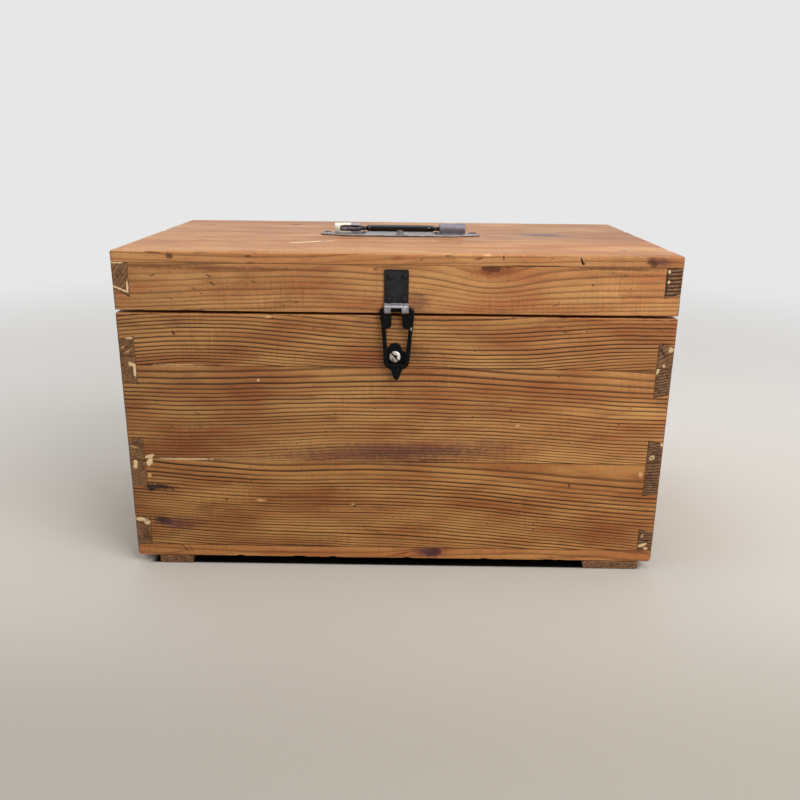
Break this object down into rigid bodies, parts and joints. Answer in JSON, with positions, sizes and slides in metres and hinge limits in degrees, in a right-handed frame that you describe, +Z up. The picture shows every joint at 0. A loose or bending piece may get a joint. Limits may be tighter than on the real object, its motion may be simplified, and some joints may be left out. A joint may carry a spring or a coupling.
{
  "type": "carpenter toolbox",
  "caption": "Dovetailed wooden tool chest with a deep hinged lid, a folding carrying handle on top and a loop hasp on the front.",
  "frame": {"origin": "on the floor, under the centre of the box's footprint", "axes": "+X along the box's length, the front with the hasp faces -Y, +Z up"},
  "size_m": [0.5, 0.2992, 0.3161],
  "materials": {
    "pine": "old oiled softwood, satin, worn edges",
    "pine_lid": "old oiled softwood, satin, worn edges",
    "pine_bottom": "old oiled softwood, worn edges",
    "runner_wood": "bare rough softwood, dirty",
    "black_steel": "worn black paint on pressed steel",
    "handle_steel": "dull plated pressed steel with wear",
    "handle_black": "glossy black coating",
    "bright_steel": "bright steel, lightly worn",
    "hinge_steel": "dark aged steel"
  },
  "bodies": {
    "box": {"back_board_lower": "pine", "back_board_middle": "pine", "back_board_upper": "pine", "bottom_board_front": "pine_bottom", "bottom_board_middle": "pine_bottom", "bottom_board_rear": "pine_bottom", "catch_plate": "black_steel", "catch_screw": "bright_steel", "front_board_lower": "pine", "front_board_middle": "pine", "front_board_upper": "pine", "hinge_left_box_leaf": "hinge_steel", "hinge_left_box_screw_1": "bright_steel", "hinge_left_box_screw_2": "bright_steel", "hinge_left_box_screw_3": "bright_steel", "hinge_left_pin": "bright_steel", "hinge_right_box_leaf": "hinge_steel", "hinge_right_box_screw_1": "bright_steel", "hinge_right_box_screw_2": "bright_steel", "hinge_right_box_screw_3": "bright_steel", "hinge_right_pin": "bright_steel", "left_board_lower": "pine", "left_board_middle": "pine", "left_board_upper": "pine", "right_board_lower": "pine", "right_board_middle": "pine", "right_board_upper": "pine", "runner_left": "runner_wood", "runner_right": "runner_wood"},
    "lid": {"handle_nail_front": "handle_steel", "handle_nail_left": "handle_steel", "handle_nail_rear": "handle_steel", "handle_nail_right": "handle_steel", "handle_plate": "handle_steel", "hasp_nail_low_left": "black_steel", "hasp_nail_low_right": "black_steel", "hasp_nail_top_left": "black_steel", "hasp_nail_top_right": "black_steel", "hasp_plate": "black_steel", "hinge_left_lid_leaf": "hinge_steel", "hinge_left_lid_screw_1": "bright_steel", "hinge_left_lid_screw_2": "bright_steel", "hinge_left_lid_screw_3": "bright_steel", "hinge_right_lid_leaf": "hinge_steel", "hinge_right_lid_screw_1": "bright_steel", "hinge_right_lid_screw_2": "bright_steel", "hinge_right_lid_screw_3": "bright_steel", "lid_board_front": "pine_lid", "lid_board_middle": "pine_lid", "lid_board_rear": "pine_lid", "lid_rail_back": "pine_lid", "lid_rail_front": "pine_lid", "lid_rail_left": "pine_lid", "lid_rail_right": "pine_lid"},
    "handle": {"handle_rod": "handle_black", "handle_grip": "handle_black"},
    "hasp": {"hasp_loop": "black_steel"}
  },
  "joints": [
    {"name": "lid_hinge", "type": "hinge", "parent": "box", "child": "lid", "pos_m": [0, 0.1454, 0.25], "axis": [-1, 0, 0], "range_deg": [0, 180]},
    {"name": "handle_pivot", "type": "hinge", "parent": "lid", "child": "handle", "pos_m": [0.0015, 0, 0.3106], "axis": [1, 0, 0], "range_deg": [0, 190]},
    {"name": "hasp_pivot", "type": "hinge", "parent": "lid", "child": "hasp", "pos_m": [0.0009, -0.14655, 0.2557], "axis": [-1, 0, 0], "range_deg": [0, 165]}
  ]
}
